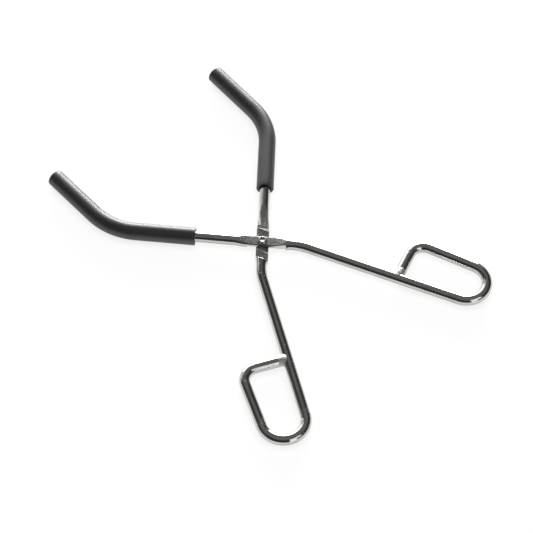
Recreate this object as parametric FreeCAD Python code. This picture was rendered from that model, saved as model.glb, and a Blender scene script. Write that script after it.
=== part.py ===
import FreeCAD, Part
import math
import os

from FreeCAD import Vector

# Beaker tongs: two identical bent rods cross at a riveted half-lap. Each rod has a
# soft sleeved jaw at one end and a welded finger loop at the other. The second arm
# is the first one turned half a turn about the centreline of the tongs.
# Lengths are in millimetres and angles in degrees.

# Rod and soft sleeve
rod_diameter = 6.0
sleeve_wall = 2.0
sleeve_fit_clearance = 0.02
sleeve_cap_thickness = 2.5
sleeve_cap_chamfer = 0.5

# Jaw, measured along the rod from the pivot
jaw_straight = 72.4
jaw_bend_radius = 38.0
jaw_bend_angle = 41.7
jaw_tip_length = 36.1
sleeve_start = 38.3

# Handle and finger loop, measured along the rod from the pivot
handle_straight = 17.2
handle_bend_radius = 31.0
handle_bend_angle = 16.7
handle_length = 89.3
loop_radius = 12.1
loop_turn_angle = 175.8
return_bar_length = 27.1
corner_radius = 8.2
corner_angle = 91.3

# Weld that closes the finger loop on the handle
weld_height = 2.9
weld_foot_depth = 2.4
weld_waist_height = 0.9
weld_spread = 1.9
weld_waist_share = 0.45
weld_crown = 0.12
weld_edge = 0.06

# Pressed half-lap at the pivot. Heights are from the plane where the two arms meet.
press_width = 7.0
press_taper = 4.0
press_bend_clearance = 1.0
lap_jaw_reach = 9.5
lap_handle_reach = 11.7
lap_gap = 0.1
lap_skew_angle = 24.0
lap_corner_radius = 0.6
shoulder_slope = 18.0
jaw_flat_height = 1.45
jaw_flat_start = 4.0
jaw_flat_end = 10.5
jaw_flat_runout_radius = 60.0
land_height = 1.6
land_reach = 5.0
land_runout_radius = 28.0

# Rivet
rivet_shank_diameter = 3.4
rivet_hole_clearance = 0.05
rivet_head_diameter = 5.2
rivet_head_height = 1.35
rivet_tail_diameter = 5.2
rivet_tail_height = 0.95
rivet_rim_height = 0.35
rivet_dimple_diameter = 1.9
rivet_dimple_depth = 0.3

# Pose: half the angle between the two rods on the jaw side
half_opening_angle = 43.05

ORIGIN = Vector(0, 0, 0)
X_AXIS = Vector(1, 0, 0)
Z_AXIS = Vector(0, 0, 1)

rod_radius = rod_diameter / 2
sleeve_radius = rod_radius + sleeve_wall
bore_radius = rod_radius + sleeve_fit_clearance

# Pressing tools are drawn this much deeper than the rod, and wider than it
tool_overlap = 1.0
tool_width = 2 * press_width

# Two points closer than this are the same point
same_place = 0.01


def heading_vector(heading):
    """Unit vector in the XY plane at an angle from +X."""
    angle = math.radians(heading)
    return Vector(math.cos(angle), math.sin(angle), 0)


def trace(start, heading, runs):
    """Follow straight runs and tangent arcs in the XY plane.

    A run is ("line", length) or ("arc", radius, turn), where a positive turn is to
    the left. Each step of the result holds its edge, both of its ends, the heading
    at its start, and the centre and turn of an arc.
    """
    steps = []
    point = start
    for run in runs:
        ahead = heading_vector(heading)
        if run[0] == "line":
            end = point + ahead * run[1]
            edge = Part.LineSegment(point, end).toShape()
            steps.append({"edge": edge, "from": point, "to": end, "heading": heading, "turn": 0.0})
        else:
            radius, turn = run[1], run[2]
            side = math.copysign(90.0, turn)
            centre = point + heading_vector(heading + side) * radius
            middle = centre - heading_vector(heading + side + turn / 2) * radius
            end = centre - heading_vector(heading + side + turn) * radius
            edge = Part.Arc(point, middle, end).toShape()
            steps.append({"edge": edge, "from": point, "to": end, "heading": heading,
                          "turn": turn, "centre": centre})
            heading += turn
        point = end
    return steps, point, heading


def round_bar(steps, radius):
    """Solid round bar along traced steps, as cylinders and parts of tori."""
    pieces = []
    for step in steps:
        ahead = heading_vector(step["heading"])
        circle = Part.Wire(Part.makeCircle(radius, step["from"], ahead))
        section = Part.Face(circle)
        if step["turn"]:
            pieces.append(section.revolve(step["centre"], Z_AXIS, step["turn"]))
        else:
            pieces.append(section.extrude(step["to"] - step["from"]))
    return joined(pieces)


def joined(pieces):
    """One solid from pieces that meet face to face."""
    whole = pieces[0].fuse(pieces[1:]) if len(pieces) > 1 else pieces[0]
    return whole.removeSplitter().Solids[0]


def chamfered_rim(solid, centre, size):
    """Chamfer the circular edge of a solid that lies about a centre."""
    rims = [edge for edge in solid.Edges if edge.CenterOfMass.distanceToPoint(centre) < same_place]
    return solid.makeChamfer(size, rims)


def prism(steps, sweep):
    """Solid swept from the closed outline of traced steps along a vector."""
    edges = [step["edge"] for step in steps]
    edges.append(Part.LineSegment(steps[-1]["to"], steps[0]["from"]).toShape())
    return Part.Face(Part.Wire(edges)).extrude(sweep)


def stood_up(solid):
    """Turn a solid drawn in the XY plane so that its Y runs along Z."""
    turned = solid.copy()
    turned.rotate(ORIGIN, X_AXIS, 90)
    return turned


def jaw_steps(start, end_trim):
    """Jaw centreline from a distance along the rod to short of the tip's end."""
    return trace(
        Vector(start, 0, 0), 0.0,
        [("line", jaw_straight - start),
         ("arc", jaw_bend_radius, -jaw_bend_angle),
         ("line", jaw_tip_length - end_trim)])


def handle_steps(start):
    """Handle and loop centreline, up to where the cross bar meets the handle."""
    steps, corner, heading = trace(
        Vector(-start, 0, 0), 180.0,
        [("line", handle_straight - start),
         ("arc", handle_bend_radius, -handle_bend_angle),
         ("line", handle_length),
         ("arc", loop_radius, loop_turn_angle),
         ("line", return_bar_length),
         ("arc", corner_radius, corner_angle)])
    # The cross bar runs until it reaches the axis of the handle
    handle = steps[2]
    across = heading_vector(handle["heading"] - 90.0)
    along_cross = heading_vector(heading)
    reach = (handle["from"] - corner).dot(across) / along_cross.dot(across)
    cross, seat, heading = trace(corner, heading, [("line", reach)])
    return steps + cross, seat, heading


def oval(x, half_width):
    """Outline across the rod at x: a circle, or an ellipse where it is wider."""
    if half_width == rod_radius:
        return Part.Wire(Part.makeCircle(rod_radius, Vector(x, 0, 0), X_AXIS))
    ellipse = Part.Ellipse(Vector(x, half_width, 0), Vector(x, 0, rod_radius), Vector(x, 0, 0))
    return Part.Wire(ellipse.toShape())


def pressed_blank(reach):
    """Rod round the pivot, spread sideways by the press and tapered to round."""
    full_reach = reach - press_taper
    stations = [(-reach, rod_radius), (-full_reach, press_width / 2),
                (full_reach, press_width / 2), (reach, rod_radius)]
    outlines = [oval(x, half_width) for x, half_width in stations]
    return joined([Part.makeLoft([near, far], True, True) for near, far in zip(outlines, outlines[1:])])


def lap_tool():
    """Presses the lap under the rod: flat floor, sloped shoulders skewed to the rod."""
    depth = rod_radius + tool_overlap
    wall_turn = 90.0 - shoulder_slope
    corner_reach = lap_corner_radius * math.tan(math.radians(wall_turn / 2))
    wall = depth / math.cos(math.radians(shoulder_slope)) - corner_reach
    floor = lap_jaw_reach + lap_handle_reach - 2 * corner_reach
    lean = depth * math.tan(math.radians(shoulder_slope))
    foot = Vector(-lap_handle_reach - lean, lap_gap / 2 - depth, 0)
    steps, _, _ = trace(
        foot, wall_turn,
        [("line", wall),
         ("arc", lap_corner_radius, -wall_turn),
         ("line", floor),
         ("arc", lap_corner_radius, -wall_turn),
         ("line", wall)])
    skew = tool_width * math.tan(math.radians(lap_skew_angle))
    tool = stood_up(prism(steps, Vector(skew, 0, tool_width)))
    tool.translate(Vector(-skew / 2, tool_width / 2, 0))
    return tool


def flat_tool(height, start, end, runout_radius):
    """Presses a flat on top of the rod, which fades out along it in two long arcs."""
    rise = rod_radius + tool_overlap - height
    fade = math.degrees(math.acos(1 - rise / runout_radius))
    fade_length = runout_radius * math.sin(math.radians(fade))
    steps, _, _ = trace(
        Vector(start - fade_length, height + rise, 0), -fade,
        [("arc", runout_radius, fade),
         ("line", end - start),
         ("arc", runout_radius, fade)])
    tool = stood_up(prism(steps, Vector(0, 0, tool_width)))
    tool.translate(Vector(0, tool_width / 2, 0))
    return tool


def make_arm(hole_clearance):
    """Bent rod with its pressed half-lap, rivet hole and closed finger loop."""
    reach = min(handle_straight, jaw_straight) - press_bend_clearance
    jaw, _, _ = jaw_steps(reach, sleeve_cap_thickness)
    handle, _, _ = handle_steps(reach)
    arm = joined([round_bar(jaw, rod_radius), pressed_blank(reach), round_bar(handle, rod_radius)])
    land = flat_tool(land_height, -land_reach, land_reach, land_runout_radius)
    # Beyond the lap the jaw is flattened too, so that its shoulder stands low
    jaw_flat = flat_tool(jaw_flat_height, jaw_flat_start, jaw_flat_end, jaw_flat_runout_radius)
    hole_radius = rivet_shank_diameter / 2 + hole_clearance
    hole = Part.makeCylinder(hole_radius, rod_diameter, Vector(0, 0, -rod_radius))
    return arm.cut([land, turned_over(jaw_flat), lap_tool(), hole]).Solids[0]


def make_weld(arm):
    """Flared weld round the cross bar where it stands on the handle."""
    _, seat, heading = handle_steps(0.0)
    out = heading_vector(heading + 180.0)
    # Two cones: wide along the handle at the foot, drawn in to the cross bar at the top
    stations = [(-weld_foot_depth, weld_spread),
                (weld_waist_height, weld_spread * weld_waist_share),
                (weld_height, weld_edge)]
    cones = []
    for (low, low_spread), (high, high_spread) in zip(stations, stations[1:]):
        foot = seat + out * (rod_radius + low)
        low_radius = rod_radius + low_spread
        high_radius = rod_radius + high_spread
        cones.append(Part.makeCone(low_radius, high_radius, high - low, foot, out))
    # Over the rods the weld stands only a little proud
    flare = joined(cones)
    span = 4 * rod_diameter
    thickness = 2 * (rod_radius + weld_crown)
    slab = Part.makeBox(span, span, thickness, seat - Vector(span, span, thickness) / 2)
    return flare.common(slab).cut(arm).Solids[0]


def make_sleeve():
    """Soft sleeve over the jaw, open at its mouth, closed and chamfered at the tip."""
    outer_steps, tip, _ = jaw_steps(sleeve_start, 0.0)
    inner_steps, _, _ = jaw_steps(sleeve_start, sleeve_cap_thickness)
    outer = chamfered_rim(round_bar(outer_steps, sleeve_radius), tip, sleeve_cap_chamfer)
    return outer.cut(round_bar(inner_steps, bore_radius)).Solids[0]


def rivet_head(radius, height, base):
    """Domed head with a straight rim, standing up from its seat at height base."""
    crown_height = height - rivet_rim_height
    crown_radius = (radius ** 2 + crown_height ** 2) / (2 * crown_height)
    crown_centre = base + height - crown_radius
    half_way = radius / 2
    on_crown = Vector(half_way, 0, crown_centre + math.sqrt(crown_radius ** 2 - half_way ** 2))
    seat_centre = Vector(0, 0, base)
    seat_edge = Vector(radius, 0, base)
    rim_top = Vector(radius, 0, base + rivet_rim_height)
    top = Vector(0, 0, base + height)
    outline = [Part.LineSegment(seat_centre, seat_edge).toShape(),
               Part.LineSegment(seat_edge, rim_top).toShape(),
               Part.Arc(rim_top, on_crown, top).toShape(),
               Part.LineSegment(top, seat_centre).toShape()]
    return Part.Face(Part.Wire(outline)).revolve(ORIGIN, Z_AXIS, 360)


def dimple_tool(crown_top):
    """Round punch that dents the head, as wide as the dimple where it enters."""
    dimple_radius = rivet_dimple_diameter / 2
    punch_radius = (dimple_radius ** 2 + rivet_dimple_depth ** 2) / (2 * rivet_dimple_depth)
    return Part.makeSphere(punch_radius, Vector(0, 0, crown_top - rivet_dimple_depth + punch_radius))


def make_rivet():
    """Rivet through both arms, tight in the upper arm and free in the lower."""
    top_seat = land_height
    bottom_seat = -land_height - lap_gap / 2
    shank = Part.makeCylinder(rivet_shank_diameter / 2, top_seat - bottom_seat, Vector(0, 0, bottom_seat))
    head = rivet_head(rivet_head_diameter / 2, rivet_head_height, top_seat)
    head = head.cut(dimple_tool(top_seat + rivet_head_height))
    tail = turned_over(rivet_head(rivet_tail_diameter / 2, rivet_tail_height, -bottom_seat))
    return joined([head, shank, tail])


def turned_over(solid):
    """A solid turned half a turn about the centreline of the tongs."""
    turned = solid.copy()
    turned.rotate(ORIGIN, X_AXIS, 180)
    return turned


def posed(solid, side):
    """A solid drawn on a straight-lying arm, on the upper arm or the lower arm."""
    opened = solid.copy()
    opened.rotate(ORIGIN, Z_AXIS, half_opening_angle)
    return opened if side == "upper" else turned_over(opened)


def make_nodes():
    """Every node by name, with the pivot at the origin."""
    tight_arm = make_arm(0.0)
    arms = {"upper": tight_arm, "lower": make_arm(rivet_hole_clearance)}
    sleeve = make_sleeve()
    weld = make_weld(tight_arm)
    nodes = {"pivot_rivet": make_rivet()}
    for side, arm in arms.items():
        nodes[side + "_arm"] = posed(arm, side)
        nodes[side + "_jaw_sleeve"] = posed(sleeve, side)
        nodes[side + "_loop_weld"] = posed(weld, side)
    return nodes


def main():
    """Stand the tongs on their lowest point and write one file per node."""
    os.makedirs("parts", exist_ok=True)
    nodes = make_nodes()
    box = Part.makeCompound(list(nodes.values())).optimalBoundingBox(False)
    shift = Vector(-box.Center.x, -box.Center.y, -box.ZMin)
    for name, solid in nodes.items():
        solid.translate(shift)
        solid.exportStep("parts/%s.step" % name)
        print("%-18s valid %s volume %.1f" % (name, solid.isValid(), solid.Volume))
    print("pivot at %.4f %.4f %.4f" % tuple(shift))
    print("size %.2f x %.2f x %.2f" % (box.XLength, box.YLength, box.ZLength))


main()
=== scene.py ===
import math

import bmesh
import bpy
from bpy.props import FloatProperty, FloatVectorProperty, PointerProperty
from mathutils import Matrix, Vector, noise


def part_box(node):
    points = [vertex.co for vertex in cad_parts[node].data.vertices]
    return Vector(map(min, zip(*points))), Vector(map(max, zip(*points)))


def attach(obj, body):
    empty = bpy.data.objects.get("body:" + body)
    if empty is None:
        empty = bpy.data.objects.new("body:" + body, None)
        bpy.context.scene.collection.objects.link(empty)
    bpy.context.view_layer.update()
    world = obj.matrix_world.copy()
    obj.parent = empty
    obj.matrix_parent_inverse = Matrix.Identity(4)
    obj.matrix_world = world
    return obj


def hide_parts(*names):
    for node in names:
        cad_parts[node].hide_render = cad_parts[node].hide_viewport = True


bl_info = {
    "name": "Beaker Tongs",
    "version": (1, 0, 0),
    "blender": (4, 5, 0),
    "location": "3D View > Sidebar > Tongs",
    "description": "Plated scissor tongs with soft jaw sleeves, in a plain studio",
    "category": "Object",
}

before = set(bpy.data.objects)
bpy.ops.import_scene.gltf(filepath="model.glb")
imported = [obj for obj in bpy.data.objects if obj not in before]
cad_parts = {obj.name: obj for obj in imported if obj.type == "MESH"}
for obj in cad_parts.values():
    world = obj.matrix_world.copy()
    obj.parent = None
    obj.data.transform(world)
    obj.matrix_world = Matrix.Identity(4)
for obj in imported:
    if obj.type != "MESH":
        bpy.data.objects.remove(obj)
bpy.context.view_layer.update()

MM = 0.001
RIVET_LOW, RIVET_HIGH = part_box("pivot_rivet")
ARM_LOW, ARM_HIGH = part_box("upper_arm")
PIVOT = Vector(((RIVET_LOW.x + RIVET_HIGH.x) / 2,
                (RIVET_LOW.y + RIVET_HIGH.y) / 2,
                (ARM_LOW.z + ARM_HIGH.z) / 2))
# The second arm is the first one turned over about the centreline of the tongs
TURN_OVER = Matrix.Rotation(math.pi, 4, "X")
SIDES = {"upper": Matrix.Identity(4), "lower": TURN_OVER}
ORIGIN = Vector((0.0, 0.0, 0.0))
QUARTER_TURN = math.radians(90)
# Edges that bend more than this stay sharp
CREASE_ANGLE = math.radians(35)
# How far along the finish's patterns the lower body starts
PATTERN_SHIFT = Vector((0.61, 0.0, 0.0))


def length(name, description, default):
    return FloatProperty(name=name, description=description, default=default * MM, unit="LENGTH")


def angle(name, description, default):
    return FloatProperty(name=name, description=description, default=math.radians(default),
                         unit="ROTATION", subtype="ANGLE")


def share(name, description, default):
    return FloatProperty(name=name, description=description, default=default, min=0.0, max=1.0,
                         subtype="FACTOR")


def amount(name, description, default):
    return FloatProperty(name=name, description=description, default=default, min=0.0)


def colour(name, description, default):
    return FloatVectorProperty(name=name, description=description, default=default, size=3,
                               min=0.0, max=1.0, subtype="COLOR")


class RodSizes(bpy.types.PropertyGroup):
    """The bent rod, measured along its centreline from the pivot"""
    diameter: length("Rod diameter", "Thickness of the round rod", 6.0)
    jaw_straight: length("Jaw straight", "Pivot to the jaw's bend", 72.4)
    jaw_bend_radius: length("Jaw bend radius", "Radius of the jaw's bend", 38.0)
    jaw_bend_angle: angle("Jaw bend angle", "How far the jaw turns in", 41.7)
    jaw_tip: length("Jaw tip", "Straight end of the jaw after its bend", 36.1)
    handle_straight: length("Handle straight", "Pivot to the handle's bend", 17.2)
    handle_bend_radius: length("Handle bend radius", "Radius of the handle's bend", 31.0)
    handle_bend_angle: angle("Handle bend angle", "How far the handle turns out", 16.7)
    handle_length: length("Handle length", "Straight handle up to the loop", 89.3)
    loop_radius: length("Loop radius", "Radius of the finger loop's round end", 12.1)
    loop_turn: angle("Loop turn", "How far the finger loop turns back", 175.8)
    return_bar: length("Return bar", "Straight bar beside the handle", 27.1)
    corner_radius: length("Corner radius", "Radius of the loop's corner", 8.2)
    corner_turn: angle("Corner turn", "How far the loop's corner turns", 91.3)
    half_opening: angle("Half opening", "Half the angle between the arms", 43.05)


class LapSizes(bpy.types.PropertyGroup):
    """The pressed half-lap at the pivot"""
    press_width: length("Pressed width", "Width of the rod where it was pressed", 7.0)
    press_taper: length("Press taper", "Run over which the pressed rod goes back to round", 4.0)
    bend_clearance: length("Bend clearance", "How far the press stays clear of the bends", 1.0)
    jaw_reach: length("Lap to jaw", "Pivot to the lap's shoulder on the jaw", 9.5)
    handle_reach: length("Lap to handle", "Pivot to the lap's shoulder on the handle", 11.7)
    lap_gap: length("Lap gap", "Gap between the two laps", 0.1)
    lap_skew: angle("Lap skew", "How far the lap's shoulders stand askew", 24.0)
    shoulder_slope: angle("Shoulder slope", "Lean of the lap's shoulders", 18.0)
    # The crease line's width and skew place a painted highlight along the jaw's shoulder
    crease_width: length("Crease width", "Width of the pale line along the jaw's shoulder", 0.65)
    crease_skew: share("Crease skew", "How much less the pale line leans than the shoulder", 0.14)
    jaw_flat_height: length("Jaw flat height", "Height of the flattened jaw over the lap", 1.45)
    jaw_flat_end: length("Jaw flat", "Pivot to where the flattened jaw starts to rise", 10.5)
    jaw_flat_runout: length("Jaw flat run-out", "Radius in which the jaw goes back to round", 60.0)
    jaw_flank: length("Jaw flank", "Middle of the flattened jaw to its bevelled flank", 1.5)
    land_height: length("Land height", "Height of the pressed land over the lap", 1.6)
    land_reach: length("Land reach", "Flat land to each side of the rivet", 5.0)
    land_runout: length("Land run-out", "Radius in which the land fades out", 28.0)
    edge_softness: length("Edge softness", "Rounding of the pressed edges", 0.25)
    ridge_place: length("Ridge", "Pivot to the faint ridge across the lap", 5.8)
    ridge_depth: length("Ridge depth", "Depth of the lap's floor before the ridge", 0.12)
    # Painted highlight on the ridge's top
    ridge_highlight: share("Ridge highlight", "How strong the painted highlight on the ridge's top is", 0.4)
    nip_start: length("Nip start", "Pivot to the start of the flat nipped into one handle", 4.5)
    nip_end: length("Nip end", "Pivot to the end of the nipped flat", 12.6)
    nip_width: length("Nip width", "Middle of the rod to the start of the nipped flat", 3.1)
    lip: length("Lip", "How far the metal was squeezed out beside one jaw", 1.0)
    lip_start: length("Lip start", "Pivot to the start of the squeezed lip", 2.4)
    lip_end: length("Lip end", "Pivot to the end of the squeezed lip", 7.4)


class SleeveSizes(bpy.types.PropertyGroup):
    """The soft sleeve over each jaw"""
    start: length("Sleeve start", "Pivot to the sleeve's mouth", 38.3)
    wall: length("Sleeve wall", "Thickness of the soft wall", 2.0)
    fit: length("Sleeve fit", "Clearance of the bore on the rod", 0.02)
    cap: length("Sleeve cap", "Thickness of the closed end", 2.5)
    cap_rounding: length("Cap rounding", "Rounding of the closed end", 0.6)
    lip_rounding: length("Lip rounding", "Rounding of the mouth's outer edge", 0.12)
    flare: length("Mouth flare", "How far the mouth stands off the rod", 0.6)
    flare_depth: length("Flare depth", "How deep the mouth's flare reaches", 2.2)


class WeldSizes(bpy.types.PropertyGroup):
    """The weld that closes each finger loop"""
    height: length("Weld height", "How far the weld climbs the cross bar", 2.9)
    foot: length("Weld foot", "How deep the weld's foot wraps the handle", 2.2)
    spread: length("Weld spread", "How far the weld spreads along the handle", 1.0)
    crown: length("Weld crown", "How far the weld stands proud beside the bar", 0.12)
    lumps: length("Weld lumps", "Unevenness of the weld", 0.14)


class RivetSizes(bpy.types.PropertyGroup):
    """The rivet at the pivot"""
    shank: length("Shank diameter", "Thickness of the rivet's shank", 3.4)
    head: length("Head diameter", "Width of the peened head", 5.2)
    head_height: length("Head height", "Height of the peened head", 1.35)
    tail_height: length("Tail height", "Height of the tail underneath", 0.95)
    rim: length("Rim height", "Straight rim under the crown", 0.35)
    dimple: length("Dimple diameter", "Width of the punch mark in the head", 3.5)
    dimple_depth: length("Dimple depth", "Depth of the punch mark in the head", 0.5)
    peening: length("Peening", "Depth of the hammer marks", 0.09)


class FinishLook(bpy.types.PropertyGroup):
    """Colours and surface of each finish"""
    plating: colour("Plating", "Bright plating on the rods", (0.57, 0.57, 0.56))
    plating_roughness: share("Plating roughness", "Roughness of the clean plating", 0.07)
    pressed_roughness: share("Pressed roughness", "Roughness of the pressed flats", 0.19)
    # Painted shade on the plating's lower side: the height below which it is darkest and the height
    # over which it fades
    shade_below: length("Shade below", "Height below which the painted shade on the plating is darkest", 3.2)
    shade_fade: length("Shade fade", "Height over which the painted shade on the plating fades upwards", 3.2)
    # Pale painted highlight along the lap's crease and ridge
    painted_highlight_tone: colour("Painted highlight tone", "Pale colour painted as a highlight along the lap's crease and ridge", (0.82, 0.82, 0.8))
    sleeve: colour("Sleeve", "Black of the soft sleeves", (0.007, 0.0068, 0.007))
    sleeve_roughness: share("Sleeve roughness", "Roughness of the soft sleeves", 0.45)
    weld: colour("Weld", "Plated weld metal", (0.64, 0.64, 0.63))
    rivet: colour("Rivet", "Bright rivet steel", (0.37, 0.37, 0.36))


class StudioLook(bpy.types.PropertyGroup):
    """The plain studio"""
    floor: colour("Floor", "Pale floor", (0.93, 0.93, 0.93))
    floor_lift: share("Floor lift", "How much of the floor is seen as plain white", 0.8)
    ceiling: amount("Ceiling", "Brightness of the ceiling", 0.215)
    side_wall: amount("Side wall", "Brightness of the wall on the right", 0.07)
    camera_side: amount("Camera side", "Brightness of the room behind the camera", 0.045)
    left_wall: amount("Left wall", "Brightness of the wall on the left, near the floor", 0.33)
    near_wall: amount("Near wall", "Brightness of the wall behind the camera, near the floor", 0.3)
    lamp: amount("Lamp", "Brightness of the large lamp behind the object", 3.2)
    lamp_core: amount("Lamp core", "Further brightness in the lamp's middle", 26.0)
    lamp_glow: amount("Lamp glow", "Brightness of the lit cloth above the lamp", 1.2)
    lamp_spill: amount("Lamp spill", "Brightness of the wall beside the lamp", 0.9)
    side_box: amount("Side box", "Brightness of the soft box beside the camera", 1.6)
    overhead: amount("Overhead", "Power of the broad lamp overhead, in watts", 21.0)


class Value:
    """An output of a shader node. Arithmetic with it adds Math nodes."""

    def __init__(self, nodes, socket):
        self.nodes = nodes
        self.socket = socket

    def math(self, operation, *values):
        return self.nodes.add("ShaderNodeMath", {"operation": operation}, dict(enumerate(values)))

    def __add__(self, other):
        return self.math("ADD", self, other)

    def __sub__(self, other):
        return self.math("SUBTRACT", self, other)

    def __rsub__(self, other):
        return self.math("SUBTRACT", other, self)

    def __mul__(self, other):
        return self.math("MULTIPLY", self, other)

    __radd__ = __add__
    __rmul__ = __mul__

    def larger(self, other):
        return self.math("MAXIMUM", self, other)

    def ramp(self, low, high):
        """A smooth step from 0 at low to 1 at high."""
        return self.nodes.add("ShaderNodeMapRange", {"interpolation_type": "SMOOTHSTEP"},
                              {"Value": self, "From Min": low, "From Max": high})

    def output(self, name):
        """Another output of the same node."""
        return Value(self.nodes, self.socket.node.outputs[name])

    def split(self, axis):
        """One part of a vector."""
        return self.nodes.add("ShaderNodeSeparateXYZ", None, {0: self}, axis)


class Nodes:
    """A node tree that is filled through one method."""

    def __init__(self, owner):
        owner.use_nodes = True
        self.tree = owner.node_tree
        self.tree.nodes.clear()

    def add(self, kind, settings=None, inputs=None, output=0):
        """Add a node, with its settings first and then its values or links."""
        node = self.tree.nodes.new(kind)
        for name, value in (settings or {}).items():
            setattr(node, name, value)
        for name, value in (inputs or {}).items():
            if isinstance(value, Value):
                self.tree.links.new(value.socket, node.inputs[name])
            else:
                node.inputs[name].default_value = value
        return Value(self, node.outputs[output]) if node.outputs else None

    def attribute(self, name, output="Fac"):
        """A layer of the mesh."""
        return self.add("ShaderNodeAttribute", {"attribute_name": name}, None, output)

    def noise(self, place, scale, detail=2.0, roughness=0.5):
        return self.add("ShaderNodeTexNoise", {"noise_dimensions": "3D"},
                        {"Vector": place, "Scale": scale, "Detail": detail,
                         "Roughness": roughness})

    def stretched(self, place, scale):
        """A place scaled by its own amount along each axis."""
        return self.add("ShaderNodeVectorMath", {"operation": "MULTIPLY"}, {0: place, 1: scale})

    def mix(self, share_of_second, first, second):
        """A colour between two colours."""
        return self.add("ShaderNodeMix", {"data_type": "RGBA"},
                        {"Factor": share_of_second, "A": first, "B": second}, "Result")

    def bump(self, height, distance, under=None):
        inputs = {"Height": height, "Distance": distance}
        if under:
            inputs["Normal"] = under
        return self.add("ShaderNodeBump", None, inputs)


def opaque(rgb, strength=1.0):
    return tuple(part * strength for part in rgb) + (1.0,)


def surface(name, make_shader):
    """A material whose shader is made by a function of its nodes."""
    material = bpy.data.materials.new(name)
    nodes = Nodes(material)
    shader = make_shader(nodes)
    nodes.add("ShaderNodeOutputMaterial", None, {"Surface": shader})
    return material


def plated_rod_shader(look):
    """Bright plating with drawn lines, scuffed at the bends and mottled where it was pressed, with
    painted shade towards its lower side and a painted highlight along the lap's crease and ridge.
    """
    def make(nodes):
        along = nodes.attribute("unbent", "Vector")
        pressed, scuffed, painted_highlight = map(nodes.attribute, ("pressed", "scuffed", "painted_highlight"))
        streaks = nodes.noise(nodes.stretched(along, (110.0, 1500.0, 1500.0)), 1.0, 3.0)
        drawn = nodes.noise(nodes.stretched(along, (60.0, 3200.0, 3200.0)), 1.0, 2.0)
        cloudy = nodes.noise(along, 260.0, 3.0)
        mottle = nodes.noise(along, 1100.0, 5.0, 0.75)
        pits = nodes.noise(along, 800.0, 1.0).ramp(0.71, 0.78)
        ripple = nodes.noise(nodes.stretched(along, (420.0, 160.0, 160.0)), 1.0, 2.0)
        dents = nodes.noise(nodes.stretched(along, (900.0, 420.0, 420.0)), 1.0, 3.0)
        satin = pressed * (0.2 + mottle.ramp(0.35, 0.65) * 1.6)
        roughness = (look.plating_roughness + cloudy * 0.05 + pits * 0.2 + scuffed * 0.06
                     + satin * look.pressed_roughness + painted_highlight * 0.4)
        red, green, blue = look.plating
        clean = nodes.mix(streaks.ramp(0.35, 0.7), opaque(look.plating, 1.1),
                          opaque((red * 0.86, green * 0.85, blue * 0.81)))
        dark = opaque(look.plating, 0.42)
        blotches = mottle.ramp(0.44, 0.56) * 0.95
        # Painted shade: the plating's colour darkens towards its lower side, standing in for the
        # floor's shadow mirrored there
        height = nodes.add("ShaderNodeTexCoord", None, None, "Object").split("Z")
        painted_shade = 1.0 - height.ramp(look.shade_below, look.shade_below + look.shade_fade)
        shaded_plating = nodes.mix(painted_shade, clean, opaque(look.plating, 0.55))
        worn = nodes.mix(pressed * blotches + pits * 0.5, shaded_plating, dark)
        # Painted highlight: a pale, less metallic tone along the lap's crease and on the ridge's
        # top
        tone = nodes.mix(painted_highlight, worn, opaque(look.painted_highlight_tone))
        bent = nodes.bump(ripple, 0.05 * MM)
        dented = nodes.bump(dents * scuffed, 0.22 * MM, bent)
        lined = nodes.bump(drawn, 0.003 * MM, dented)
        normal = nodes.bump(mottle * pressed - pits * 0.2, 0.1 * MM, lined)
        return nodes.add("ShaderNodeBsdfPrincipled", None,
                         {"Base Color": tone, "Metallic": 1.0 - painted_highlight * 0.9,
                          "Roughness": roughness, "Normal": normal})
    return make


def sleeve_shader(look):
    """Black moulded sleeve with a fine matt grain and faint rubbed patches."""
    def make(nodes):
        along = nodes.attribute("unbent", "Vector")
        grain = nodes.noise(along, 4200.0, 3.0, 0.6)
        clouds = nodes.noise(nodes.stretched(along, (120.0, 420.0, 420.0)), 1.0, 3.0)
        lines = nodes.noise(nodes.stretched(along, (40.0, 1800.0, 1800.0)), 1.0, 2.0)
        rubbed = clouds.ramp(0.52, 0.78)
        specks = nodes.noise(along, 1300.0, 3.0, 0.7).ramp(0.45, 0.68)
        tone = nodes.mix(grain.ramp(0.3, 0.8) * 0.3 + specks * 0.45 + rubbed * 0.25,
                         opaque(look.sleeve), opaque(look.sleeve, 2.6))
        roughness = look.sleeve_roughness + grain * 0.06 - rubbed * 0.01
        normal = nodes.bump(lines, 0.001 * MM, nodes.bump(grain, 0.002 * MM))
        return nodes.add("ShaderNodeBsdfPrincipled", None,
                         {"Base Color": tone, "Roughness": roughness, "Normal": normal,
                          "Specular IOR Level": 1.0})
    return make


def bright_steel_shader(rgb, base_roughness, grain_scale, grain_depth):
    """Plated steel with a frosted, slightly uneven skin."""
    def make(nodes):
        place = nodes.add("ShaderNodeTexCoord", None, None, "Object")
        frost = nodes.noise(place, grain_scale, 4.0, 0.6)
        patches = nodes.noise(place, 700.0, 2.0)
        roughness = base_roughness + frost * 0.18 + patches * 0.08
        tone = nodes.mix(patches.ramp(0.45, 0.8) * 0.5, opaque(rgb), opaque(rgb, 0.75))
        normal = nodes.bump(frost, grain_depth)
        return nodes.add("ShaderNodeBsdfPrincipled", None,
                         {"Base Color": tone, "Metallic": 1.0, "Roughness": roughness,
                          "Normal": normal})
    return make


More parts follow.
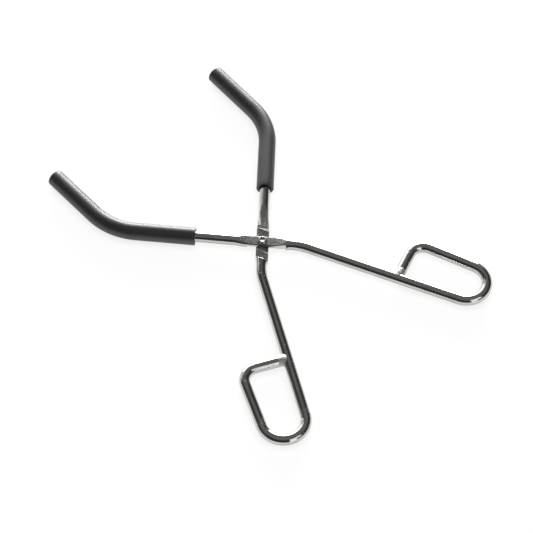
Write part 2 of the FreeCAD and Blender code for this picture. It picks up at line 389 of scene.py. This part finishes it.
def floor_shader(look):
    """Pale floor, seen mostly as plain white but still holding the object's shadow."""
    def make(nodes):
        camera = nodes.add("ShaderNodeLightPath", None, None, "Is Camera Ray")
        seen = camera.larger(camera.output("Is Glossy Ray"))
        seen = seen.larger(camera.output("Is Transmission Ray"))
        lit = nodes.add("ShaderNodeBsdfDiffuse", None, {"Color": opaque(look.floor)})
        white = nodes.add("ShaderNodeEmission", None, {"Strength": 1.0})
        return nodes.add("ShaderNodeMixShader", None, {0: seen * look.floor_lift, 1: lit, 2: white})
    return make


def smooth(low, high, value):
    """0 below low, 1 above high and a smooth step between."""
    part = min(1.0, max(0.0, (value - low) / (high - low)))
    return part * part * (3.0 - 2.0 * part)


def soft_larger(first, second, softness):
    """The larger of two heights, rounded where they cross."""
    return (first + second + math.sqrt((first - second) ** 2 + softness ** 2)) / 2


def soft_smaller(first, second, softness):
    return -soft_larger(-first, -second, softness)


def heading_vector(heading):
    return Vector((math.cos(heading), math.sin(heading), 0.0))


class Tube:
    """A round bar that grows ring by ring in the XY plane.

    Each point also keeps where it was on the rod before bending, in the unbent layer,
    so that a finish can follow the rod round its bends.
    """

    def __init__(self, mesh, centre, heading, radius, segments, way=1):
        self.mesh = mesh
        self.unbent = (mesh.verts.layers.float_vector.get("unbent")
                       or mesh.verts.layers.float_vector.new("unbent"))
        self.centre = centre.copy()
        self.heading = heading
        self.half_width = self.half_height = radius
        self.travel = 0.0
        self.way = way
        stand = Matrix.Rotation(QUARTER_TURN, 4, "Y")
        place = Matrix.Translation(centre) @ Matrix.Rotation(heading, 4, "Z") @ stand
        made = bmesh.ops.create_circle(mesh, segments=segments, radius=radius, matrix=place)
        self.points = made["verts"]
        self.edges = list({edge for point in self.points for edge in point.link_edges})
        self.keep_place()

    def keep_place(self):
        """Write the unbent place of the newest ring."""
        across = heading_vector(self.heading + QUARTER_TURN) * self.way
        for point in self.points:
            offset = point.co - self.centre
            point[self.unbent] = (self.travel, offset.dot(across), offset.z)

    def take(self, geometry):
        """Go on from the ring that an operator made."""
        self.points = [item for item in geometry if isinstance(item, bmesh.types.BMVert)]
        fresh = set(self.points)
        self.edges = [item for item in geometry if isinstance(item, bmesh.types.BMEdge)
                      and item.verts[0] in fresh and item.verts[1] in fresh]

    def step(self, advance, half_width=None, half_height=None):
        """One more ring, further along the heading, of the same or another size."""
        grown = bmesh.ops.extrude_edge_only(self.mesh, edges=self.edges)
        self.take(grown["geom"])
        move = heading_vector(self.heading) * advance
        bmesh.ops.translate(self.mesh, verts=self.points, vec=move)
        self.centre += move
        self.travel += advance * self.way
        if half_width is not None:
            half_height = half_height or half_width
            own_frame = Matrix.Translation(self.centre) @ Matrix.Rotation(self.heading, 4, "Z")
            growth = (1.0, half_width / self.half_width, half_height / self.half_height)
            bmesh.ops.scale(self.mesh, verts=self.points, space=own_frame.inverted(), vec=growth)
            self.half_width, self.half_height = half_width, half_height
        self.keep_place()

    def straight(self, run, spacing):
        count = max(1, round(run / spacing))
        for _ in range(count):
            self.step(run / count)

    def bend(self, bend_radius, turn, spacing=math.radians(2.5)):
        """A bend, to the left for a positive turn."""
        side = math.copysign(QUARTER_TURN, turn)
        centre = self.centre + heading_vector(self.heading + side) * bend_radius
        count = max(2, round(abs(turn) / spacing))
        for _ in range(count):
            grown = bmesh.ops.spin(self.mesh, geom=self.points + self.edges, cent=centre,
                                   axis=(0, 0, 1), angle=turn / count, steps=1)
            self.take(grown["geom_last"])
            self.heading += turn / count
            self.centre = centre - heading_vector(self.heading + side) * bend_radius
            self.travel += abs(turn) / count * bend_radius * self.way
            self.keep_place()

    def turn_back(self):
        """Go on the opposite way, over the same stretch of the rod."""
        self.heading += math.radians(180)
        self.way = -self.way

    def close(self):
        bmesh.ops.edgeloop_fill(self.mesh, edges=self.edges)


def walk(point, heading, runs):
    """Where a path of straight runs and bends ends."""
    for run in runs:
        if len(run) == 1:
            point = point + heading_vector(heading) * run[0]
        else:
            bend_radius, turn = run
            side = math.copysign(QUARTER_TURN, turn)
            centre = point + heading_vector(heading + side) * bend_radius
            heading += turn
            point = centre - heading_vector(heading + side) * bend_radius
    return point, heading


def finished_piece(name, mesh, body, placement, material, node):
    """Turn a bmesh into a piece of the tongs that stands for a CAD node."""
    unbent = mesh.verts.layers.float_vector.get("unbent")
    if unbent and body == "lower":
        # The finish's patterns aren't the same on both arms
        for point in mesh.verts:
            point[unbent] = point[unbent] + PATTERN_SHIFT
    bmesh.ops.transform(mesh, matrix=placement, verts=mesh.verts)
    bmesh.ops.recalc_face_normals(mesh, faces=mesh.faces)
    for face in mesh.faces:
        face.smooth = True
    for edge in mesh.edges:
        if len(edge.link_faces) == 2 and edge.calc_face_angle() > CREASE_ANGLE:
            edge.smooth = False
    data = bpy.data.meshes.new(name)
    mesh.to_mesh(data)
    mesh.free()
    data.materials.append(material)
    piece = bpy.data.objects.new(name, data)
    bpy.context.scene.collection.objects.link(piece)
    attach(piece, body)
    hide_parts(node)


def arm_placement(side, half_opening):
    """Where an arm drawn along X, with its pivot at the origin, lies in the tongs."""
    return Matrix.Translation(PIVOT) @ SIDES[side] @ Matrix.Rotation(half_opening, 4, "Z")


def cross_bar(rod):
    """Start, heading and reach of the bar that closes the finger loop."""
    runs = [(rod.handle_straight,), (rod.handle_bend_radius, -rod.handle_bend_angle),
            (rod.handle_length,), (rod.loop_radius, rod.loop_turn), (rod.return_bar,),
            (rod.corner_radius, rod.corner_turn)]
    corner, heading = walk(ORIGIN, math.pi, runs)
    bend_end, handle_heading = walk(ORIGIN, math.pi, runs[:2])
    across = heading_vector(handle_heading - QUARTER_TURN)
    reach = (bend_end - corner).dot(across) / heading_vector(heading).dot(across)
    return corner, heading, reach


def fading_flat(height, start, end, runout, x):
    """Height of a pressed flat that fades out of the rod in a long arc."""
    past = min(max(0.0, start - x, x - end), runout)
    return height + runout - math.sqrt(runout ** 2 - past ** 2)


def ridge_step(lap, run):
    """Rises from 0 to 1 across the faint ridge on the handle's side of the lap."""
    return smooth(lap.ridge_place - 0.5 * MM, lap.ridge_place + 0.5 * MM, -run)


def lap_floor(lap, run):
    """Height of the lap's floor, which dips before the ridge, and of its shoulders."""
    foot = lap.jaw_reach if run > 0 else lap.handle_reach
    past_foot = soft_larger(abs(run) - foot - 0.1 * MM, 0.0, 0.15 * MM)
    before = smooth(lap.ridge_place - 2.0 * MM, lap.ridge_place - 0.5 * MM, -run)
    dip = lap.ridge_depth * before * (1.0 - ridge_step(lap, run))
    return lap.lap_gap / 2 + dip - past_foot / math.tan(lap.shoulder_slope)


def crease_line(lap, rod, run, across):
    """The painted highlight line along the jaw's shoulder, wider on one side of the rod and less
    askew than the shoulder.
    """
    half_width = lap.crease_width * (0.5 + 0.35 * across / rod.diameter)
    off = abs(run - lap.jaw_reach + half_width * 0.6 - across * lap.crease_skew)
    return 1.0 - smooth(half_width - 0.1 * MM, half_width + 0.1 * MM, off)


def press_lap(mesh, lap, rod, side):
    """Press the round rod at the pivot: wider, with a skewed lap below and a land above."""
    unbent = mesh.verts.layers.float_vector["unbent"]
    pressed = mesh.verts.layers.float.new("pressed")
    painted_highlight = mesh.verts.layers.float.new("painted_highlight")
    reach = rod.handle_straight - lap.bend_clearance
    rise = rod.diameter / 2 - lap.jaw_flat_height
    last = lap.jaw_flat_end + math.sqrt(2 * lap.jaw_flat_runout * rise)
    widening = lap.press_width / rod.diameter - 1.0
    skew = math.tan(lap.lap_skew)
    for point in mesh.verts:
        run = point[unbent].x
        if abs(run) >= last:
            continue
        full = 1.0 - smooth(reach - lap.press_taper, reach, abs(run))
        point.co.y *= 1.0 + widening * full
        # The rings lean with the shoulders, so that the shoulders stay crisp
        point.co.x -= point.co.y * skew * full
        bottom = lap_floor(lap, run)
        if run > 0:
            flat = -fading_flat(lap.jaw_flat_height, 0.0, lap.jaw_flat_end, lap.jaw_flat_runout,
                                point.co.x)
            bottom = soft_larger(bottom, flat, lap.edge_softness)
            if side == "lower":
                bevel_flank(point, lap, flat, run)
        land = fading_flat(lap.land_height, -lap.land_reach, lap.land_reach, lap.land_runout,
                           point.co.x)
        unpressed = point.co.z
        point.co.z = soft_smaller(soft_larger(unpressed, bottom, lap.edge_softness), land,
                                  lap.edge_softness)
        if side == "upper":
            nip_flank(point, lap, run)
        # The ridge's top is left less mottled and less rough, and it and the crease beside the
        # shoulder get a pale painted highlight
        on_floor = 1.0 - smooth(0.2 * MM, 0.5 * MM, point.co.z)
        passed = ridge_step(lap, run)
        ridge_top = 4.0 * passed * (1.0 - passed) * on_floor
        moved = abs(point.co.z - unpressed)
        point[pressed] = smooth(0.03 * MM, 0.2 * MM, moved) * (1.0 - ridge_top)
        line = on_floor * crease_line(lap, rod, run, point.co.y)
        point[painted_highlight] = max(line, ridge_top * lap.ridge_highlight)


def bevel_flank(point, lap, flat, run):
    """The bevel along one side of the flattened jaw."""
    fade = 1.0 - smooth(lap.jaw_reach - 0.1 * MM, lap.jaw_reach + 0.7 * MM, run)
    past = max(0.0, run - lap.jaw_reach)
    limit = (lap.jaw_flank + max(0.0, point.co.z - flat) * 0.7 + fade * 3.0 * MM
             + (past / (14.0 * MM)) ** 2 * 1.5 * MM)
    point.co.y = soft_larger(point.co.y, -limit, 0.08 * MM)


def nip_flank(point, lap, run):
    """The flat nipped into one side of the handle, and the lip squeezed out beside the jaw."""
    along = -run - lap.nip_start
    released = smooth(lap.nip_end - lap.nip_start - 0.4 * MM, lap.nip_end - lap.nip_start, along)
    limit = (lap.nip_width - along * 0.09 + (lap.land_height - point.co.z) * 0.33
             + released * 4.0 * MM)
    if along > 0.0 and point.co.y > 0.0:
        point.co.y = soft_smaller(point.co.y, limit, 0.05 * MM)
    if point.co.y < 0.0:
        there = (smooth(lap.lip_start - 0.5 * MM, lap.lip_start + 1.5 * MM, run)
                 * (1.0 - smooth(lap.lip_end - 0.25 * MM, lap.lip_end + 0.25 * MM, run)))
        low = 1.0 - smooth(0.7 * MM, 1.1 * MM, point.co.z)
        outer = smooth(2.2 * MM, 3.0 * MM, -point.co.y)
        point.co.y -= lap.lip * there * low * outer


def mark_bends(mesh, rod):
    """Where the bending die scuffed the rod: both ends of the loop's bend and its corner."""
    unbent = mesh.verts.layers.float_vector["unbent"]
    scuffed = mesh.verts.layers.float.new("scuffed")
    loop_start = (rod.handle_straight + rod.handle_bend_radius * rod.handle_bend_angle
                  + rod.handle_length)
    loop_end = loop_start + rod.loop_radius * rod.loop_turn
    corner_start = loop_end + rod.return_bar
    corner_end = corner_start + rod.corner_radius * rod.corner_turn
    for point in mesh.verts:
        near = min(abs(-point[unbent].x - place)
                   for place in (loop_start, loop_end, corner_start, corner_end))
        point[scuffed] = 1.0 - smooth(0.5 * MM, 4.0 * MM, near)


class TONGS_OT_arms(bpy.types.Operator):
    """Build both bent arms with their pressed laps and finger loops"""
    bl_idname = "tongs.arms"
    bl_label = "Build Arms"

    def execute(self, context):
        rod = context.scene.tongs_rod
        lap = context.scene.tongs_lap
        sleeve = context.scene.tongs_sleeve
        plated = surface("plated_rod", plated_rod_shader(context.scene.tongs_finish))
        bar = bmesh.new()
        radius = rod.diameter / 2
        segments = 80
        # The jaw's flat fades out over its first runs, so the rings stay close there
        fading = 12.0 * MM
        jaw = Tube(bar, ORIGIN, 0.0, radius, segments)
        self.lapped(jaw, lap.jaw_reach, rod.handle_straight)
        jaw.straight(fading, 1.0 * MM)
        jaw.straight(rod.jaw_straight - rod.handle_straight - fading, 5.0 * MM)
        jaw.bend(rod.jaw_bend_radius, -rod.jaw_bend_angle, math.radians(5))
        jaw.straight(rod.jaw_tip - sleeve.cap, 8.0 * MM)
        jaw.close()
        handle = Tube(bar, ORIGIN, math.pi, radius, segments, way=-1)
        self.lapped(handle, lap.handle_reach, rod.handle_straight)
        handle.bend(rod.handle_bend_radius, -rod.handle_bend_angle)
        handle.straight(rod.handle_length, 5.0 * MM)
        handle.bend(rod.loop_radius, rod.loop_turn, math.radians(3.5))
        handle.straight(rod.return_bar, 5.0 * MM)
        handle.bend(rod.corner_radius, rod.corner_turn, math.radians(4.5))
        _, _, reach = cross_bar(rod)
        handle.straight(reach, 5.0 * MM)
        handle.close()
        bmesh.ops.remove_doubles(bar, verts=bar.verts, dist=0.001 * MM)
        mark_bends(bar, rod)
        for side in SIDES:
            mesh = bar.copy()
            press_lap(mesh, lap, rod, side)
            finished_piece(side + "_arm_bar", mesh, side, arm_placement(side, rod.half_opening),
                           plated, side + "_arm")
        bar.free()
        return {"FINISHED"}

    def lapped(self, tube, lap_reach, run):
        """The rod from the pivot past the lap, with its rings closest at the shoulder."""
        floor = lap_reach - 1.1 * MM
        shoulder = 2.6 * MM
        tube.straight(floor, 0.25 * MM)
        tube.straight(shoulder, 0.1 * MM)
        tube.straight(run - floor - shoulder, 0.5 * MM)


class TONGS_OT_sleeves(bpy.types.Operator):
    """Build the soft sleeve over each jaw"""
    bl_idname = "tongs.sleeves"
    bl_label = "Build Sleeves"

    def execute(self, context):
        rod = context.scene.tongs_rod
        sleeve = context.scene.tongs_sleeve
        black = surface("black_sleeve", sleeve_shader(context.scene.tongs_finish))
        bore = rod.diameter / 2 + sleeve.fit
        outer = rod.diameter / 2 + sleeve.wall
        covered = rod.jaw_straight - sleeve.start
        runs = [(rod.jaw_straight,), (rod.jaw_bend_radius, -rod.jaw_bend_angle),
                (rod.jaw_tip - sleeve.cap,)]
        bore_end, heading = walk(ORIGIN, 0.0, runs)
        skin = bmesh.new()
        tube = Tube(skin, bore_end, heading + math.pi, bore, 72, way=-1)
        tube.close()
        # Back along the bore, over the lip and forward along the outside
        tube.straight(rod.jaw_tip - sleeve.cap, 6.0 * MM)
        tube.bend(rod.jaw_bend_radius, rod.jaw_bend_angle, math.radians(5))
        tube.straight(covered - sleeve.flare_depth, 6.0 * MM)
        tube.step(sleeve.flare_depth * 0.6, bore + sleeve.flare * 0.35)
        tube.step(sleeve.flare_depth * 0.4, bore + sleeve.flare)
        self.round_off(tube, outer, sleeve.lip_rounding, -1)
        tube.turn_back()
        tube.straight(covered - sleeve.lip_rounding, 4.0 * MM)
        tube.bend(rod.jaw_bend_radius, -rod.jaw_bend_angle)
        tube.straight(rod.jaw_tip - sleeve.cap_rounding, 4.0 * MM)
        self.round_off(tube, outer, sleeve.cap_rounding, 1)
        tube.step(0.0, (outer - sleeve.cap_rounding) * 0.6)
        tube.step(0.0, (outer - sleeve.cap_rounding) * 0.2)
        tube.close()
        for side in SIDES:
            finished_piece(side + "_jaw_sleeve_skin", skin.copy(), side,
                           arm_placement(side, rod.half_opening), black,
                           side + "_jaw_sleeve")
        skin.free()
        return {"FINISHED"}

    def round_off(self, tube, outer, rounding, way):
        """A quarter round between a flat end and the outside, in either order."""
        count = 7
        angles = [QUARTER_TURN * part / count for part in range(count + 1)]
        if way > 0:
            for before, after in zip(angles, angles[1:]):
                tube.step(rounding * (math.sin(after) - math.sin(before)),
                          outer - rounding * (1 - math.cos(after)))
        else:
            tube.step(0.0, outer - rounding)
            for before, after in zip(angles, angles[1:]):
                tube.step(-rounding * (math.cos(before) - math.cos(after)),
                          outer - rounding * (1 - math.sin(after)))


class TONGS_OT_welds(bpy.types.Operator):
    """Build the weld that closes each finger loop"""
    bl_idname = "tongs.welds"
    bl_label = "Build Welds"

    def execute(self, context):
        rod = context.scene.tongs_rod
        weld = context.scene.tongs_weld
        look = context.scene.tongs_finish
        frosted = surface("weld_metal", bright_steel_shader(
            look.weld, base_roughness=0.42, grain_scale=1800.0, grain_depth=0.08 * MM))
        corner, heading, reach = cross_bar(rod)
        seat = corner + heading_vector(heading) * reach
        radius = rod.diameter / 2
        bead = bmesh.new()
        top = seat - heading_vector(heading) * (radius + weld.height)
        tube = Tube(bead, top, heading, radius - 0.1 * MM, 72)
        tube.close()
        count = 20
        skin = 0.06 * MM
        for part in range(1, count + 1):
            down = part / count
            spread = weld.spread * down ** 2.2 + skin
            crown = weld.crown * math.sin(math.pi * min(1.0, down * 1.15)) + skin
            tube.step((weld.height + weld.foot) / count, radius + spread, radius + crown)
        tube.close()
        for number, side in enumerate(SIDES):
            mesh = bead.copy()
            self.roughen(mesh, seat, weld.lumps, Vector((0, 0, number * 0.05)))
            finished_piece(side + "_loop_weld_bead", mesh, side,
                           arm_placement(side, rod.half_opening), frosted,
                           side + "_loop_weld")
        bead.free()
        return {"FINISHED"}

    def roughen(self, mesh, seat, lumps, shift):
        """Uneven the bead. The shift gives each weld its own lumps."""
        for point in mesh.verts:
            wave = noise.noise((point.co + shift) * 900.0)
            point.co += (point.co - seat).normalized() * wave * lumps


class TONGS_OT_rivet(bpy.types.Operator):
    """Build the peened rivet at the pivot"""
    bl_idname = "tongs.rivet"
    bl_label = "Build Rivet"

    def execute(self, context):
        rivet = context.scene.tongs_rivet
        lap = context.scene.tongs_lap
        look = context.scene.tongs_finish
        bright = surface("rivet_steel", bright_steel_shader(
            look.rivet, base_roughness=0.2, grain_scale=1500.0, grain_depth=0.035 * MM))
        mesh = bmesh.new()
        head_end = self.half_head(mesh, rivet, rivet.head_height, lap.land_height, 1)
        tail_end = self.half_head(mesh, rivet, rivet.tail_height, -lap.land_height, -1)
        mesh.edges.new((head_end, tail_end))
        bmesh.ops.spin(mesh, geom=mesh.verts[:] + mesh.edges[:], cent=(0, 0, 0), axis=(0, 0, 1),
                       angle=math.radians(360), steps=72, use_merge=True)
        bmesh.ops.remove_doubles(mesh, verts=mesh.verts, dist=0.004 * MM)
        for point in mesh.verts:
            if abs(point.co.z) > lap.land_height + rivet.rim * 0.5:
                beat = noise.noise(point.co * 1100.0) + 0.5 * noise.noise(point.co * 2300.0)
                point.co.z += math.copysign(rivet.peening, point.co.z) * beat
        finished_piece("pivot_rivet_peened", mesh, "upper", Matrix.Translation(PIVOT), bright,
                       "pivot_rivet")
        return {"FINISHED"}

    def half_head(self, mesh, rivet, height, seat, way):
        """Half section of a head: seat, rim, flattened crown and dimple. Gives the shank's end."""
        radius = rivet.head / 2
        dimple = rivet.dimple / 2
        places = [(rivet.shank / 2, seat), (radius, seat), (radius, seat + way * rivet.rim)]
        steps = 14
        for part in range(1, steps + 1):
            turn = QUARTER_TURN * part / steps
            out = dimple + (radius - dimple) * math.cos(turn)
            places.append((out, seat + way * (rivet.rim + (height - rivet.rim) * math.sin(turn))))
        for part in range(1, steps + 1):
            out = dimple * (1 - part / steps)
            sink = rivet.dimple_depth * smooth(0.0, 1.0, 1 - out / dimple)
            places.append((out, seat + way * (height - sink)))
        points = [mesh.verts.new((out, 0, up)) for out, up in places]
        for first, second in zip(points, points[1:]):
            mesh.edges.new((first, second))
        return points[0]


class TONGS_OT_studio(bpy.types.Operator):
    """Build the floor, the soft studio light and the camera"""
    bl_idname = "tongs.studio"
    bl_label = "Build Studio"

    def execute(self, context):
        look = context.scene.tongs_studio
        self.build_floor(look)
        self.light_room(context.scene, look)
        self.hang_overhead(context.scene, look)
        self.place_camera(context.scene)
        context.scene.view_settings.view_transform = "Standard"
        return {"FINISHED"}

    def build_floor(self, look):
        mesh = bmesh.new()
        bmesh.ops.create_grid(mesh, x_segments=1, y_segments=1, size=8.0)
        data = bpy.data.meshes.new("studio_floor")
        mesh.to_mesh(data)
        mesh.free()
        data.materials.append(surface("pale_floor", floor_shader(look)))
        floor = bpy.data.objects.new("studio_floor", data)
        bpy.context.scene.collection.objects.link(floor)

    def light_room(self, scene, look):
        """A dim room with a large lamp behind the object and a soft box beside the camera."""
        world = bpy.data.worlds.new("soft_studio")
        scene.world = world
        nodes = Nodes(world)
        direction = nodes.add("ShaderNodeTexCoord", None, None, "Generated")
        east, north, up = direction.split("X"), direction.split("Y"), direction.split("Z")
        bearing = nodes.add("ShaderNodeMath", {"operation": "ARCTAN2"}, {0: north, 1: east})

        def facing(degrees, half_width, fade):
            """1 inside a range of bearings, fading to 0 outside it."""
            turned = bearing - math.radians(degrees)
            wrapped = turned.math("WRAP", turned, math.pi, -math.pi)
            off = wrapped.math("ABSOLUTE", wrapped)
            return 1.0 - off.ramp(math.radians(half_width), math.radians(half_width + fade))

        def climb(low, high):
            """0 below the lower elevation, 1 above the higher one."""
            return up.ramp(math.sin(math.radians(low)), math.sin(math.radians(high)))

        def below(degrees, fade):
            return 1.0 - climb(degrees, degrees + fade)

        def above(degrees, fade):
            return climb(degrees - fade, degrees)

        # Walls: dim to the right, almost dark behind the camera, pale near the floor on the left
        near = facing(120.0, 38.0, 25.0)
        left = facing(48.0, 26.0, 30.0)
        dim = look.side_wall + near * (look.camera_side - look.side_wall)
        room = dim + above(56.0, 10.0) * (look.ceiling - dim)
        low_left = left * below(8.0, 16.0) * look.left_wall
        low_near = near * below(0.0, 14.0) * look.near_wall
        # The large lamp behind the object fades out upwards
        lamp_width = facing(-33.0, 27.0, 5.0)
        glow = lamp_width * below(34.0, 18.0) * look.lamp_glow
        hot = facing(-50.0, 6.0, 34.0) * look.lamp_core
        lamp = lamp_width * below(14.0, 12.0) * (look.lamp + hot)
        spill = facing(2.0, 12.0, 6.0) * below(26.0, 12.0) * look.lamp_spill
        side = facing(184.0, 19.0, 5.0) * above(27.0, 5.0) * below(50.0, 5.0) * look.side_box
        side_low = facing(172.0, 9.0, 5.0) * below(24.0, 8.0) * look.side_box
        light = room
        for part in (low_left, low_near, glow, spill, side, side_low):
            light = light.larger(part)
        background = nodes.add("ShaderNodeBackground", None, {"Strength": light + lamp})
        nodes.add("ShaderNodeOutputWorld", None, {"Surface": background})

    def hang_overhead(self, scene, look):
        """A broad lamp over the object, which the plating doesn't mirror."""
        overhead = bpy.data.lights.new("overhead_lamp", "AREA")
        overhead.shape = "DISK"
        overhead.size = 1.6
        overhead.energy = look.overhead
        holder = bpy.data.objects.new("overhead_lamp", overhead)
        holder.location = (0.0, 0.0, 1.5)
        holder.visible_glossy = False
        scene.collection.objects.link(holder)

    def place_camera(self, scene):
        """The photograph's viewing angle."""
        target = PIVOT + Vector((-14.05, 9.2, 0.0)) * MM
        distance = 1004.5 * MM
        bearing, elevation = math.radians(139.06), math.radians(54.97)
        back = Vector((math.cos(elevation) * math.cos(bearing),
                       math.cos(elevation) * math.sin(bearing), math.sin(elevation)))
        lens = bpy.data.cameras.new("photo_view")
        lens.lens = 121.15
        lens.sensor_width = 36.0
        lens.clip_start = 0.05
        lens.clip_end = 40.0
        camera = bpy.data.objects.new("photo_view", lens)
        scene.collection.objects.link(camera)
        camera.location = target + back * distance
        camera.rotation_mode = "QUATERNION"
        camera.rotation_quaternion = (-back).to_track_quat("-Z", "Y")
        scene.camera = camera


GROUPS = {
    "tongs_rod": RodSizes,
    "tongs_lap": LapSizes,
    "tongs_sleeve": SleeveSizes,
    "tongs_weld": WeldSizes,
    "tongs_rivet": RivetSizes,
    "tongs_finish": FinishLook,
    "tongs_studio": StudioLook,
}
OPERATORS = (TONGS_OT_arms, TONGS_OT_sleeves, TONGS_OT_welds, TONGS_OT_rivet, TONGS_OT_studio)


class TONGS_PT_panel(bpy.types.Panel):
    """Sizes, finishes and build steps of the tongs"""
    bl_idname = "TONGS_PT_panel"
    bl_label = "Beaker Tongs"
    bl_space_type = "VIEW_3D"
    bl_region_type = "UI"
    bl_category = "Tongs"

    def draw(self, context):
        for group_name, group in GROUPS.items():
            box = self.layout.box()
            box.label(text=group.__doc__)
            for name in group.__annotations__:
                box.prop(getattr(context.scene, group_name), name)
        for operator in OPERATORS:
            self.layout.operator(operator.bl_idname)


def register():
    for group_name, group in GROUPS.items():
        bpy.utils.register_class(group)
        setattr(bpy.types.Scene, group_name, PointerProperty(type=group))
    for kind in OPERATORS + (TONGS_PT_panel,):
        bpy.utils.register_class(kind)


def unregister():
    for kind in reversed(OPERATORS + (TONGS_PT_panel,)):
        bpy.utils.unregister_class(kind)
    for group_name, group in reversed(GROUPS.items()):
        delattr(bpy.types.Scene, group_name)
        bpy.utils.unregister_class(group)


def main():
    register()
    bpy.ops.tongs.arms()
    bpy.ops.tongs.sleeves()
    bpy.ops.tongs.welds()
    bpy.ops.tongs.rivet()
    bpy.ops.tongs.studio()


if __name__ == "__main__":
    main()
